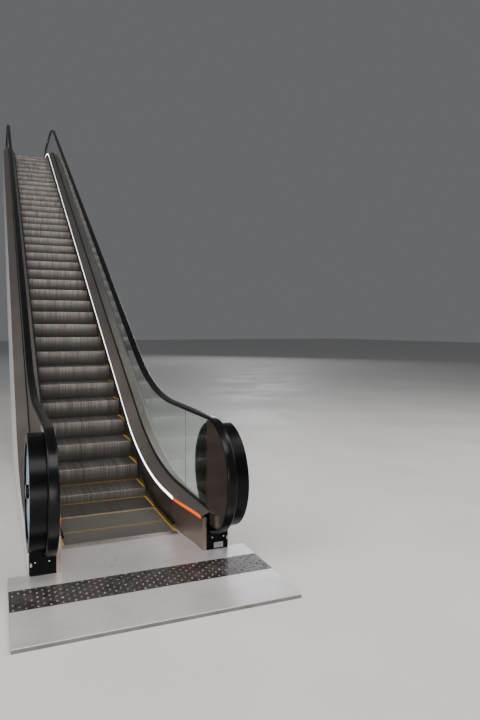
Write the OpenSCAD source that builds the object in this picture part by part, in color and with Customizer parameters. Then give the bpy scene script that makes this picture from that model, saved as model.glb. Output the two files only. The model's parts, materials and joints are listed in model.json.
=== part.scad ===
// Indoor escalator with glass balustrades, built from ground level up.
// X runs across, +Y up the flight and +Z up. The origin lies on the underside
// of the base frame, below the lower comb line.

/* [Overall] */
// Height from the lower to the upper walking surface
rise = 7250; // [3000:50:9500]
// Slope of the flight
incline = 30; // [27:0.5:35]
// Width of a step
step_w = 1004; // [604:50:1104]
// Height of the walking surface over the underside of the base frame
floor_z = 30; // [26:1:60]
// Level run of the steps behind the lower comb
lower_level = 902; // [600:1:1600]
// Level run of the steps before the upper comb
upper_level = 1120; // [800:1:2000]
// Radius of the step line at both bends
step_bend_r = 1715; // [1000:5:3600]
// Depth of the truss below the step line, measured plumb
truss_depth = 1150; // [950:10:1400]

/* [Steps] */
// Distance from one step to the next along the chain
step_pitch = 406.4; // [400:0.1:410]
// Distance from the lower comb line to the first tread's rear edge
step_phase = 289; // [150:1:400]
// Gap between a tread and the next riser
step_gap = 4; // [2:0.5:6]
// Thickness of a tread
tread_t = 28; // [20:1:40]
// Thickness of a riser shell
riser_t = 16; // [8:1:24]
// Radius of a chain roller
roller_r = 38; // [30:1:50]
// Drop of a tread's grooves below the walking surface
tread_drop = 10; // [8:0.5:12]
// Distance from one cleat to the next
cleat_pitch = 9.12; // [8:0.01:10]
// Width of a cleat
cleat_w = 3; // [2.5:0.1:3.5]
// Height of a cleat
cleat_h = 5; // [4:0.5:6]

/* [Balustrade] */
// Gap between a step and the skirt
skirt_gap = 4; // [2:0.5:4]
// Thickness of a skirt panel
skirt_t = 4; // [2:0.5:6]
// Height of the inner deck's lower edge over the lower walking surface
deck_low = 275; // [220:1:340]
// Height of the same edge over the step line on the slope
deck_slope = 310; // [290:1:380]
// Height of the same edge over the upper walking surface
deck_up = 240; // [200:1:340]
// Distance from a skirt's face to the plane of the glass
glass_out = 150; // [146:1:230]
// Thickness of the glass
glass_t = 12; // [8:1:16]
// Height of the handrail over the lower walking surface
rail_low = 1100; // [900:5:1150]
// Height of the handrail over the step line on the slope
rail_slope = 1070; // [900:5:1350]
// Height of the handrail over the upper walking surface
rail_up = 1000; // [900:5:1150]
// Radius of the handrail's lower bend
guard_bend_low = 3200; // [2000:50:4000]
// Radius of the handrail's upper bend
guard_bend_up = 2600; // [1800:50:3200]
// Distance from the plane of the glass to the outer face of the cladding
body_out = 144; // [80:1:170]

/* [Handrail and newels] */
// Width of the handrail
handrail_w = 80; // [70:1:90]
// Depth of the handrail
handrail_t = 28; // [24:1:34]
// Height of the handrail's returning run over the lower walking surface
return_low = 140; // [120:5:220]
// Height of the same run over the upper walking surface
return_up = 140; // [120:5:220]
// Distance from a comb line to the middle of its newel
newel_out = 520; // [300:10:700]
// Distance from the handrail's crown to the edge of the newel wheel
wheel_margin = 120; // [95:5:160]
// Radius of the newel wheel's axle
axle_r = 12; // [8:0.5:20]
// Running clearance of the wheel's bore
axle_clear = 0.05; // [0.02:0.01:0.1]

/* [Landings] */
// Distance from the cladding to the side edge of the lower floor plates
plate_out = 145; // [10:5:300]
// Distance from the lower comb line to the front edge of the floor plates
plate_front = 1530; // [1300:10:2500]
// Distance from the comb line to the near edge of the tactile strip
tactile_near = 765; // [700:5:900]
// Depth of the tactile strip
tactile_d = 315; // [200:5:420]
// Distance from the upper comb line to the end of the upper plates
upper_run = 1500; // [1200:10:2500]
// Thickness of the floor plates
plate_t = 6; // [3:0.5:10]

/* [Hidden] */
$fn = 64;

steel = "#8f8f8c";
bright = "#b9b9b6";
dark = "#3a3836";
black = "#161617";
rubber = "#101011";

// The step line: two bend vertices where its level and sloping lines meet.
slope_t = tan(incline);
bend_half = tan(incline / 2);
vertex_low = lower_level + step_bend_r * bend_half;
vertex_up = vertex_low + rise / slope_t;
straight_run = (vertex_up - vertex_low) / cos(incline) - 2 * step_bend_r * bend_half;
arc_len = step_bend_r * incline * PI / 180;
step_z = floor_z - tread_drop;
comb_up = vertex_up + step_bend_r * bend_half + upper_level;
band_len = lower_level + 2 * arc_len + straight_run + upper_level;
last_step = floor((band_len - step_phase) / step_pitch);
top_z = floor_z + rise;
end_y = comb_up + upper_run;
base_t = 8;

// A guide is [low height, slope height, up height, low radius, up radius].
step_guide = [0, 0, 0, step_bend_r, step_bend_r];
deck_guide = [deck_low, deck_slope, deck_up, guard_bend_low + 300, guard_bend_up];
rail_guide = [rail_low, rail_slope, rail_up, guard_bend_low, guard_bend_up];
nose_rise = step_pitch * slope_t;
brush_over = 48;
brush_start = 20;
brush_guide = [brush_over, nose_rise + brush_over, brush_over, step_bend_r, step_bend_r];

half_w = step_w / 2;
skirt_x = half_w + skirt_gap;
glass_x = skirt_x + glass_out;
body_x = glass_x + body_out;
plate_x = body_x + plate_out;
newel_r_low = (rail_low - return_low) / 2;
newel_r_up = (rail_up - return_up) / 2;
wheel_r = newel_r_low - wheel_margin;
skirt_h = deck_low + floor_z - base_t;
light_h = 26;
light_t = 8;
light_top = -3.3;
deck_x = skirt_x + 2;
deck_rise = 30;
deck_t = 3;
foot_w = 28;
foot_in = glass_x - foot_w / 2;
seat_gap = 0.3;
newel_z_low = floor_z + rail_low - newel_r_low;
newel_z_up = top_z + rail_up - newel_r_up;
newel_y_low = -newel_out;
newel_y_up = comb_up + newel_out;
deck_end_low = newel_y_low - 10;
deck_end_up = newel_y_up + 10;
flare_y = 100;
flare_x = 60;
guide_deep = 34;
foot_deep = min(60, min(deck_low - return_low, deck_up - return_up) - handrail_t - 6);
roller_back = 45;
roller_drop = 90;
comb_d = 120;
foot_y = vertex_low + truss_depth / slope_t;
head_z = top_z - 1000;
head_y = foot_y + (head_z - base_t) / slope_t;
soffit_t = 3;

// Point of the step line at a length s from the lower comb line
function step_point(s) =
    s <= lower_level ? [s, 0] :
    s <= lower_level + arc_len ?
        let (t = (s - lower_level) / step_bend_r * 180 / PI)
        [lower_level + step_bend_r * sin(t), step_bend_r * (1 - cos(t))] :
    s <= lower_level + arc_len + straight_run ?
        let (u = s - lower_level - arc_len)
        [lower_level + step_bend_r * sin(incline) + u * cos(incline),
         step_bend_r * (1 - cos(incline)) + u * sin(incline)] :
    s <= band_len - upper_level ?
        let (t = (band_len - upper_level - s) / step_bend_r * 180 / PI)
        [comb_up - upper_level - step_bend_r * sin(t), rise - step_bend_r * (1 - cos(t))] :
    [comb_up - (band_len - s), rise];

function low_y(g) = vertex_low + (g[0] - g[1]) / slope_t;
function up_y(g) = vertex_up + (g[2] - g[1]) / slope_t;

// Points of a guide, offset square to it by n, from y0 to y1
function guide_points(g, n, y0, y1, parts = 24) = concat(
    [[y0, floor_z + g[0] + n]],
    [for (i = [0:parts])
        let (t = -90 + incline * i / parts)
        [low_y(g) - g[3] * bend_half + (g[3] - n) * cos(t),
         floor_z + g[0] + g[3] + (g[3] - n) * sin(t)]],
    [for (i = [0:parts])
        let (t = 90 + incline - incline * i / parts)
        [up_y(g) + g[4] * bend_half + (g[4] + n) * cos(t),
         top_z + g[2] - g[4] + (g[4] + n) * sin(t)]],
    [[y1, top_z + g[2] + n]]
);

function reversed(list) = [for (i = [len(list) - 1:-1:0]) list[i]];

// A plate in the side plane, from x0 outwards, t thick
module side_plate(x0, t) {
    translate([x0, 0, 0]) rotate([90, 0, 90]) linear_extrude(t) children();
}

// A section of (normal, across) carried straight ahead
module straight_piece(length) {
    rotate([90, 0, 90]) linear_extrude(length) children();
}

// A section of (normal, across) turned through an angle, its centre r above the line
module bend_up(r, angle) {
    translate([0, r, 0]) rotate([0, 0, -90]) rotate_extrude(angle = angle, $fn = 180)
        translate([r, 0]) mirror([1, 0]) children();
}

// The same with its centre r below the line
module bend_down(r, angle) {
    translate([0, -r, 0]) rotate([0, 0, 90 - angle]) rotate_extrude(angle = angle, $fn = 180)
        translate([r, 0]) children();
}

// The first child, a section of (normal, across), carried along a guide from y0
// to y1. A second child is drawn where the run ends. Where low_turn is given, the
// run begins with that much of its lower bend.
module guide_run(g, y0, y1, low_turn = undef) {
    level_low = low_y(g) - g[3] * bend_half - y0;
    level_up = y1 - up_y(g) - g[4] * bend_half;
    slope = (up_y(g) - low_y(g)) / cos(incline) - (g[3] + g[4]) * bend_half;
    rotate([90, 0, 90]) translate([y0, floor_z + g[0], 0]) {
        if (is_undef(low_turn)) {
            straight_piece(level_low) children(0);
            translate([level_low, 0, 0]) bend_up(g[3], incline) children(0);
        }
        translate([level_low, g[3], 0]) rotate([0, 0, incline]) translate([0, -g[3], 0]) {
            straight_piece(slope) children(0);
            if (!is_undef(low_turn))
                translate([0, g[3], 0]) rotate([0, 0, -low_turn - 0.01])
                    translate([0, -g[3], 0]) bend_up(g[3], low_turn) children(0);
            translate([slope, -g[4], 0]) rotate([0, 0, -incline]) translate([0, g[4], 0]) {
                straight_piece(level_up) children(0);
                if ($children > 1) translate([level_up, 0, 0]) children(1);
            }
            translate([slope, 0, 0]) bend_down(g[4], incline) children(0);
        }
    }
}

module mirrored() {
    children();
    mirror([1, 0, 0]) children();
}

module left() mirror([1, 0, 0]) children();

// Everything above a level, to cut pieces off at the ground
module above(z) {
    intersection() {
        children();
        translate([-1500, -3000, z]) cube([3000, end_y + 6000, top_z + 3000]);
    }
}

step_r = step_pitch - step_gap;
riser_turn = incline + 2;
cleat_count = floor((step_w - 4) / cleat_pitch);

function cleat_x(i) = (i - (cleat_count - 1) / 2) * cleat_pitch;

// Tread and riser of a step; the tread's rear edge is the origin of the side plane
module step_shell(cleated) {
    r = step_r;
    side_plate(-half_w, step_w) {
        if (!cleated) translate([-r, -tread_t]) square([r, tread_t]);
        intersection() {
            difference() {
                circle(r, $fn = 180);
                circle(r - riser_t, $fn = 180);
            }
            polygon([[0, 0], [-2 * r, 0], [-2 * r, -2 * r * tan(riser_turn)]]);
        }
    }
    if (cleated) rotate([90, 0, 0]) linear_extrude(r) polygon(concat(
        [[half_w, 0], [half_w, -tread_t], [-half_w, -tread_t], [-half_w, 0]],
        [for (i = [0:cleat_count - 1], p = [[-1, 0], [-1, 1], [1, 1], [1, 0]])
            [cleat_x(i) + p[0] * cleat_w / 2, p[1] * cleat_h]]));
}

// Gussets, axles and rollers below the same tread
module step_carriage() {
    r = step_r;
    drop = riser_turn;
    gusset_x = half_w - 40;
    roller = [-roller_back, -roller_drop];
    mirrored() {
        side_plate(gusset_x, 12) polygon([
            [-r + riser_t - 2, -tread_t + 1], [-8, -tread_t + 1], [-8, -70],
            [roller[0] + 14, roller[1] - 14], [roller[0] - 14, roller[1] - 14],
            [-r * cos(drop) - 6, -r * sin(drop) + 26], [-r + riser_t - 2, -80]
        ]);
        side_plate(gusset_x + 10, 62) translate(roller) circle(10);
        side_plate(half_w + 14, 26) translate(roller) circle(roller_r);
    }
}

// Steps from the first to the last; those beside a comb have their cleats
module step_set(first, last) {
    for (k = [first:last]) {
        p = step_point(step_phase + k * step_pitch);
        above(base_t) translate([0, p[0], step_z + p[1]]) {
            step_shell(k < 2 || k > last_step - 2);
            step_carriage();
        }
    }
}

// The step that is passing under the upper comb, its tread cut off there
module step_under_comb() {
    rear = comb_up + step_phase - (band_len - last_step * step_pitch) + step_pitch;
    cut = comb_up + comb_d - 4;
    intersection() {
        translate([0, rear, step_z + rise]) step_shell(true);
        translate([-1000, 0, rise - 400]) cube([2000, cut, 800]);
    }
    if (rear - roller_back < cut) translate([0, rear, step_z + rise]) step_carriage();
}

module steps_lower() color(steel) step_set(0, 3);
module steps_incline_1() color(steel) step_set(4, 12);
module steps_incline_2() color(steel) step_set(13, 21);
module steps_incline_3() color(steel) step_set(22, 30);
module steps_incline_4() color(steel) step_set(31, last_step - 4);
module steps_upper() color(steel) {
    step_set(last_step - 3, last_step);
    step_under_comb();
}

rail_h = 20;

// Rails for the chain rollers, from where they rise above the base frame
module step_rails() color(dark) {
    centre = step_z + step_bend_r - roller_drop;
    start = acos((centre - base_t - 0.6) / (step_bend_r + roller_r + rail_h));
    mirrored() translate([0, -roller_back, -roller_drop - tread_drop])
        guide_run(step_guide, 0, comb_up - 40, incline - start)
            translate([-roller_r - rail_h, half_w + 10]) square([rail_h, 34]);
}

bearer_h = floor_z - plate_t - base_t;

module lower_base_frame() color(dark) {
    rail = 60;
    linear_extrude(base_t) difference() {
        union() {
            translate([-plate_x, -plate_front]) square([2 * plate_x, plate_front - newel_out]);
            translate([-body_x, -newel_out - 60]) square([2 * body_x, newel_out + 60 + foot_y]);
        }
        for (side = [-1, 1])
            translate([side * (plate_x - rail) / 2, -(plate_front + newel_out + rail) / 2])
                square([plate_x - 2 * rail, plate_front - newel_out - 3 * rail], center = true);
        for (y0 = [100, 1200, 2300])
            translate([-half_w + rail, y0]) square([step_w - 2 * rail, 900]);
    }
    for (x = [-plate_x, -rail / 2, plate_x - rail])
        translate([x, -plate_front, base_t - 1])
            cube([rail, plate_front - newel_out - 60, bearer_h + 1]);
    translate([-half_w, -comb_d - 180, base_t - 1]) cube([step_w, rail, bearer_h + 1]);
}

seam = 0.6;
comb_back = comb_d + 150;

module floor_plate(y0, y1, half) {
    translate([-half, y0, floor_z - plate_t]) cube([2 * half, y1 - y0, plate_t]);
}

// Floor between the wide plates and the comb, with the strips beside the comb
module landing_floor(y0, half) {
    floor_plate(y0, deck_end_low - seam, half);
    floor_plate(deck_end_low - seam, -comb_back, skirt_x + flare_x + 34);
    mirrored() translate([half_w + 2.5, -comb_back + seam, floor_z - plate_t])
        cube([flare_x, comb_back + flare_y - seam, plate_t]);
}

module comb_plate() {
    width = 2 * half_w + 4;
    translate([-width / 2, -comb_back + seam, floor_z - plate_t])
        cube([width, comb_back - comb_d, plate_t]);
}

// Comb: a wedge over the cleats, and teeth that go down between them
module comb_wedge() {
    width = 2 * half_w + 4;
    back = -comb_d + 2 * seam;
    foot = step_z + cleat_h + 0.4;
    root = -24;
    tooth = cleat_pitch - cleat_w - 2.5;
    side_plate(-width / 2, width) polygon([
        [back, foot], [root - 2, foot], [root - 2, floor_z - 1.6], [-60, floor_z], [back, floor_z]
    ]);
    intersection() {
        linear_extrude(floor_z) polygon(concat(
            [[width / 2, root], [width / 2, root - 3], [-width / 2, root - 3], [-width / 2, root]],
            [for (i = [0:cleat_count - 2], p = [[-1, 0], [-0.7, 1], [0.7, 1], [1, 0]])
                [cleat_x(i) + cleat_pitch / 2 + p[0] * tooth / 2, root - root * p[1]]]));
        side_plate(-width, 2 * width) polygon([
            [root - 3, foot], [root, foot], [root, step_z + 1], [-2, step_z + 1],
            [0, step_z + 2], [0, step_z + 3], [root, floor_z - 1.7], [root - 3, floor_z - 1.7]
        ]);
    }
}

// What is drawn for the lower landing, turned round and put at the upper comb
module at_upper() {
    translate([0, comb_up, rise]) mirror([0, 1, 0]) children();
}

module lower_floor_plate_front() color(bright)
    floor_plate(-plate_front, -tactile_near - tactile_d - seam, plate_x);
module tactile_strip() color(black)
    floor_plate(-tactile_near - tactile_d, -tactile_near, plate_x);
module lower_floor_plate_rear() color(bright) landing_floor(-tactile_near + seam, plate_x);
module lower_comb_plate() color(bright) comb_plate();
module lower_comb() color(bright) comb_wedge();
module upper_comb_plate() color(bright) at_upper() comb_plate();
module upper_comb() color(bright) at_upper() comb_wedge();
module upper_floor_plate() color(bright) at_upper() landing_floor(-upper_run, body_x);

module skirt_run(x, t, n0, n1) {
    guide_run(deck_guide, flare_y, comb_up - flare_y)
        translate([n0, x]) square([n1 - n0, t]);
}

module skirt_right() color(dark)
    skirt_run(skirt_x, skirt_t, -skirt_h, light_top - light_h - seat_gap);
module skirt_left() left() skirt_right();

module skirt_brushes() color(black) mirrored()
    guide_run(brush_guide, brush_start, comb_up - brush_start)
        polygon([[-8, skirt_x], [8, skirt_x], [7, skirt_x - 8], [1.5, skirt_x - 26],
                 [-2, skirt_x - 26], [-6, skirt_x - 8]]);

module skirt_lights() color("white") mirrored() {
    skirt_run(skirt_x + 2, light_t, light_top - light_h, light_top);
    at_upper() flare_light(deck_up);
}

function flare(t) = t * t * (3 - 2 * t);

// Plan of the widening skirt beside a landing, d behind its face, t thick
module flare_plan(d, t, y0, y1) {
    steps = 12;
    edge = [for (i = [0:steps])
        let (y = y0 + (y1 - y0) * i / steps)
        [skirt_x + flare_x * flare(min(1, max(0, (flare_y - y) / (flare_y - deck_end_low)))), y]];
    polygon(concat([for (p = edge) [p[0] + d, p[1]]],
                   [for (p = reversed(edge)) [p[0] + d + t, p[1]]]));
}

// Widening skirt beside a landing, with a groove for its light and a corner
// post beside the handrail inlet; h is the deck's height there
module newel_base(h) {
    light_z = floor_z + h;
    difference() {
        translate([0, 0, floor_z + 0.3]) linear_extrude(h + 10)
            flare_plan(0, 12, flare_y - seat_gap, deck_end_low);
        translate([0, 0, light_z + light_top - light_h - seat_gap]) linear_extrude(light_h + 60)
            flare_plan(-1, light_t + 2.5, flare_y + 1, deck_end_low + 12);
        translate([0, 0, light_z + light_top]) linear_extrude(60)
            flare_plan(-1, 14, flare_y + 1, deck_end_low - 1);
    }
    translate([skirt_x + flare_x, deck_end_low - 34, floor_z + 0.3]) cube([34, 34, h - 4]);
}

module flare_light(h) {
    translate([0, 0, floor_z + h + light_top - light_h]) linear_extrude(light_h)
        flare_plan(2, light_t - 1, flare_y - seat_gap, deck_end_low + 12.5);
}

module newel_base_right() color(steel) {
    newel_base(deck_low);
    at_upper() newel_base(deck_up);
}
module newel_base_left() left() newel_base_right();

module direction_lights() color("orange") mirrored() flare_light(deck_low);

module deck_section() {
    polygon([[-deck_t, deck_x], [0, deck_x], [deck_rise, foot_in], [deck_rise - deck_t, foot_in]]);
}

// Deck over a widening skirt; its edge follows the skirt and narrows the deck
module flared_deck(h) {
    steps = 24;
    section = [[0, -deck_t], [0, 0], [1, deck_rise], [1, deck_rise - deck_t]];
    points = [for (i = [0:steps])
        let (t = i / steps, edge = deck_x + flare_x * flare(t),
             y = flare_y - seam - (flare_y - seam - deck_end_low) * t)
        for (p = section) [edge + (foot_in - edge) * p[0], y, floor_z + h + p[1]]];
    polyhedron(points, concat([[3, 2, 1, 0]], [[0, 1, 2, 3] + 4 * steps * [1, 1, 1, 1]],
        [for (i = [0:steps - 1], j = [0:3], k = [0, 1])
            let (a = 4 * i + j, b = 4 * i + (j + 1) % 4)
            k == 0 ? [a, b, b + 4] : [a, b + 4, a + 4]]));
}

module inner_deck_right() color(steel) {
    guide_run(deck_guide, flare_y, comb_up - flare_y) deck_section();
    flared_deck(deck_low);
    at_upper() flared_deck(deck_up);
}
module inner_deck_left() left() inner_deck_right();

foot_seat = 10;

// Clamp and rubber at the foot of the glass, as one channel
module glass_feet() color(dark) mirrored() {
    out = foot_in + foot_w;
    lip = deck_rise + 17;
    groove = glass_t / 2 + 0.2;
    guide_run(deck_guide, deck_end_low + 5, deck_end_up - 5) polygon([
        [-foot_deep, foot_in], [lip, foot_in], [lip, glass_x - groove], [-foot_seat, glass_x - groove],
        [-foot_seat, glass_x + groove], [lip, glass_x + groove], [lip, out], [-foot_deep, out]
    ]);
}

joint_gap = 4;
pane_count = 9;

// One side's glass, cut by joints square to the slope
module glass_outline() {
    low = guide_points(deck_guide, seat_gap - foot_seat, newel_y_low, newel_y_up);
    high = guide_points(rail_guide, -guide_deep - seat_gap, newel_y_low, newel_y_up);
    polygon(concat(low, reversed(high)));
    intersection() {
        translate([newel_y_low, newel_z_low])
            circle(newel_r_low - guide_deep - seat_gap, $fn = 180);
        translate([newel_y_low - 1000, low[0][1]]) square([1001, 2000]);
    }
    intersection() {
        translate([newel_y_up, newel_z_up])
            circle(newel_r_up - guide_deep - seat_gap, $fn = 180);
        translate([newel_y_up - 1, low[len(low) - 1][1]]) square([1001, 2000]);
    }
}

module glass_joints() {
    for (i = [0:pane_count - 1]) {
        f = i / (pane_count - 1);
        y = 150 + f * (comb_up - 300);
        a = (i == 0 || i == pane_count - 1) ? 0 : incline;
        z = i == 0 ? floor_z : i == pane_count - 1 ? top_z :
            floor_z + (y - vertex_low) * slope_t;
        translate([y, z]) rotate(a) translate([-joint_gap / 2, -500]) square([joint_gap, 3000]);
    }
}

module glass_right() color([0.75, 0.85, 0.8, 0.35])
    side_plate(glass_x - glass_t / 2, glass_t) difference() {
        glass_outline();
        glass_joints();
    }
module glass_left() left() glass_right();

// Round end of the handrail line: its section is the child, inside is the
// length that goes on level into the inlet
module newel_turn(r, angle, inside) {
    translate([0, -r, 0]) rotate([0, 0, 90]) rotate_extrude(angle = angle, $fn = 180)
        translate([r, 0]) children();
    if (inside > 0)
        translate([0, -r, 0]) rotate([0, 0, 180]) translate([-inside, r, 0])
            straight_piece(inside) children();
}

// Handrail line: lower newel, top run and upper newel
module rail_run(angle, inside) {
    rotate([90, 0, 90]) translate([newel_y_low, floor_z + rail_low, 0])
        newel_turn(newel_r_low, angle, inside) children();
    guide_run(rail_guide, newel_y_low, newel_y_up) {
        children();
        mirror([1, 0, 0]) newel_turn(newel_r_up, angle, inside) children();
    }
}

module guide_section() {
    translate([-handrail_t + 8.4, glass_x - 26]) square([5.6, 52]);
    translate([-guide_deep, glass_x - 8]) square([guide_deep - handrail_t + 9, 16]);
}

module handrail_guides() color(bright) mirrored() rail_run(150, 0) guide_section();

// Half of the handrail's section, from its crown round the lip to the slot
handrail_half = [
    [0, 0], [0, handrail_w / 2 - 14], [-4, handrail_w / 2 - 4], [-11, handrail_w / 2],
    [-handrail_t + 6, handrail_w / 2], [-handrail_t, handrail_w / 2 - 6],
    [-handrail_t, handrail_w / 2 - 18], [-handrail_t + 8, handrail_w / 2 - 18],
    [-handrail_t + 8, handrail_w / 2 - 12], [-8, handrail_w / 2 - 12], [-8, 0]
];

module handrail_section() {
    count = len(handrail_half);
    translate([0, glass_x]) polygon(concat(
        [for (i = [1:count - 2]) handrail_half[i]],
        [for (i = [count - 2:-1:1]) [handrail_half[i][0], -handrail_half[i][1]]]));
}

module handrail_right() color(rubber) rail_run(180, 300) handrail_section();
module handrail_left() left() handrail_right();

module newel_covers() color(dark) mirrored()
    side_plate(foot_in - 4, glass_x - glass_t / 2 - foot_in + 4) intersection() {
        translate([newel_y_low, newel_z_low]) circle(newel_r_low - guide_deep - 4, $fn = 180);
        union() {
            translate([newel_y_low - 500, max(floor_z + deck_low - 75, newel_z_low - drum_r)])
                square([488, 1200]);
            translate([newel_y_low - 500, floor_z + deck_low + deck_rise + 19]) square([559, 1200]);
        }
    }

drum_r = wheel_r + 70;
drum_in = glass_x + foot_w / 2 + 0.3;
drum_out = body_x + 12;

module newel_drum() {
    translate([0, newel_y_low, newel_z_low]) rotate([0, 90, 0]) {
        translate([0, 0, drum_in]) cylinder(h = 10, r = drum_r, $fn = 180);
        translate([0, 0, drum_in]) difference() {
            cylinder(h = drum_out - drum_in, r = drum_r, $fn = 180);
            translate([0, 0, -1]) cylinder(h = 200, r = wheel_r + 6, $fn = 180);
        }
        translate([0, 0, glass_x + glass_t / 2]) cylinder(h = 12, r = 120);
        translate([0, 0, drum_in]) cylinder(h = body_x - 8 - drum_in, r = axle_r);
    }
}

module newel_drum_right() color(black) newel_drum();
module newel_drum_left() left() newel_drum_right();

module newel_wheel() {
    translate([0, newel_y_low, newel_z_low]) rotate([0, 90, 0]) difference() {
        union() {
            translate([0, 0, body_x - 20]) cylinder(h = 16, r = wheel_r, $fn = 180);
            translate([0, 0, drum_in + 16]) cylinder(h = body_x - 20 - drum_in, r = 32);
            translate([0, 0, body_x - 5]) cylinder(h = 25, r = 50);
        }
        translate([0, 0, drum_in]) cylinder(h = body_x - 7 - drum_in, r = axle_r + axle_clear);
    }
}

module newel_wheel_right() color("#9fb6cf") newel_wheel();
module newel_wheel_left() left() newel_wheel_right();

// Black box round the place where the handrail goes in at a landing
module inlet_box(rail_z, top) {
    slot = handrail_t + 12;
    x0 = skirt_x + flare_x + 34.3;
    z0 = floor_z + 0.3;
    translate([x0, deck_end_low - 35 - seat_gap, z0]) difference() {
        cube([body_x - 10 - x0, 35, top - z0]);
        translate([glass_x - handrail_w / 2 - 5 - x0, -1, rail_z - z0 - 6])
            cube([handrail_w + 10, 40, slot]);
    }
}

module handrail_inlets_lower() color(black) mirrored()
    inlet_box(newel_z_low - newel_r_low, newel_z_low - drum_r - 2);

module handrail_inlets_upper() color(black) mirrored() at_upper()
    inlet_box(newel_z_up - rise - newel_r_up, floor_z + deck_up - foot_seat - 2);

module outer_decks() color(steel) mirrored() difference() {
    guide_run(deck_guide, deck_end_low, deck_end_up)
        polygon([[deck_rise, glass_x + foot_w / 2], [deck_rise - deck_t, glass_x + foot_w / 2],
                 [-50, body_x - 4], [-50, body_x], [-46, body_x]]);
    translate([0, newel_y_low, newel_z_low]) rotate([0, 90, 0])
        cylinder(h = 1200, r = drum_r + 5, $fn = 180);
}

module cladding_outline() {
    top = guide_points(deck_guide, -50 - 2 * seat_gap, deck_end_low, deck_end_up);
    difference() {
        polygon(concat(top, [
            [deck_end_up, top_z - plate_t], [end_y, top_z - plate_t], [end_y, head_z],
            [head_y, head_z], [foot_y, base_t], [deck_end_low, base_t]
        ]));
        translate([newel_y_low, newel_z_low]) circle(drum_r + 5, $fn = 180);
    }
}

module side_cladding_right() color("#d8d6d2") side_plate(body_x - 4, 4) cladding_outline();
module side_cladding_left() left() side_cladding_right();

module soffit() color("#d8d6d2") {
    shift = soffit_t / sin(incline);
    side_plate(-body_x + 4, 2 * body_x - 8) polygon([
        [foot_y, base_t], [head_y, head_z], [end_y, head_z], [end_y, top_z - plate_t],
        [end_y - soffit_t, top_z - plate_t], [end_y - soffit_t, head_z + soffit_t],
        [head_y + soffit_t / slope_t - shift, head_z + soffit_t], [foot_y - shift, base_t]
    ]);
}

// A bar in the side plane between two points
module bar(p, q, w) {
    translate(p) rotate(atan2(q[1] - p[1], q[0] - p[0])) translate([0, -w / 2])
        square([norm(q - p), w]);
}

bay_count = 12;
chord = 70;
beam_side = 50;
beam_in = body_x - 59;
rail_under = -roller_r - rail_h;
beam_drop = beam_side / 2 + seat_gap;
chord_n = roller_back * sin(incline) - roller_drop * cos(incline) + rail_under - beam_drop;
chord_level = step_z + rise - roller_drop + rail_under - beam_drop;

// Height of the upper chord of the truss over the slope
function chord_z(y) = step_z + (y - vertex_low) * slope_t + chord_n / cos(incline);
function chord_y(z) = vertex_low + (z - step_z - chord_n / cos(incline)) / slope_t;

// Upper and lower chords, posts and diagonals of one side of the truss
module truss_outline() {
    ground = base_t + chord / 2;
    top_a = [chord_y(ground), ground];
    top_b = [chord_y(chord_level), chord_level];
    top_c = [end_y - 60, chord_level];
    low_a = [foot_y - 170, ground + 6];
    low_b = [head_y - 20, head_z + chord / 2 + 12];
    low_c = [end_y - 60, head_z + chord / 2 + 12];
    bar([deck_end_low + 20, ground], top_a, chord);
    bar(top_a, top_b, chord);
    bar(top_b, top_c, chord);
    bar(low_a, low_b, chord);
    bar(low_b, low_c, chord);
    bar(top_c + [-30, 0], low_c + [-30, 0], chord);
    for (i = [0:bay_count]) {
        f = i / bay_count;
        t = top_a * (1 - f) + top_b * f;
        b = low_a * (1 - f) + low_b * f;
        bar(t, b, chord * 0.7);
        if (i < bay_count) {
            g = (i + 1) / bay_count;
            bar(b, top_a * (1 - g) + top_b * g, chord * 0.5);
        }
    }
}

module truss_sides() color(dark) mirrored() side_plate(beam_in, 55) truss_outline();

// Beams between the two sides of the truss, which carry the rails and the landing
module cross_beams() color(dark) {
    bend_reach = step_bend_r * bend_half * cos(incline) + 60;
    first = max(chord_y(base_t + chord) + 200, vertex_low + bend_reach);
    last = vertex_up - bend_reach;
    for (i = [0:7]) {
        y = first + (last - first) * i / 7;
        translate([-beam_in, y, chord_z(y)]) rotate([incline, 0, 0])
            translate([0, -beam_side / 2, -beam_side / 2])
                cube([2 * beam_in, beam_side, beam_side]);
    }
    mirrored() for (y = [comb_up - upper_level, comb_up - 200])
        translate([half_w + 12, y, chord_level - beam_side / 2])
            cube([beam_in - half_w - 12, beam_side, beam_side]);
    for (y = [comb_up + comb_back - 30, comb_up + newel_out, end_y - 300])
        translate([-beam_in, y, top_z - plate_t - 60]) cube([2 * beam_in, 60, 60]);
}

module upper_bearing_bracket() color(dark) {
    leg = 180;
    difference() {
        translate([-body_x, end_y, top_z - 200]) cube([2 * body_x, leg, 170]);
        translate([-body_x - 1, end_y + 16, top_z - 184]) cube([2 * body_x + 2, leg, 200]);
    }
}

lower_base_frame();
lower_floor_plate_front();
tactile_strip();
lower_floor_plate_rear();
lower_comb_plate();
lower_comb();
steps_lower();
steps_incline_1();
steps_incline_2();
steps_incline_3();
steps_incline_4();
steps_upper();
step_rails();
truss_sides();
cross_beams();
skirt_left();
skirt_right();
skirt_brushes();
skirt_lights();
direction_lights();
newel_base_left();
newel_base_right();
inner_deck_left();
inner_deck_right();
glass_feet();
glass_left();
glass_right();
handrail_guides();
handrail_left();
handrail_right();
newel_covers();
newel_drum_left();
newel_drum_right();
newel_wheel_left();
newel_wheel_right();
handrail_inlets_lower();
handrail_inlets_upper();
outer_decks();
side_cladding_left();
side_cladding_right();
soffit();
upper_comb_plate();
upper_comb();
upper_floor_plate();
upper_bearing_bracket();
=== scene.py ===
"""Looks of an indoor escalator over its packed construction frame.

Metres, X across, +Y up the flight in plan, +Z up. Every piece rides on the body that
carries it, and every construction node gets a procedural material.
"""
import json
import math

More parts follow.
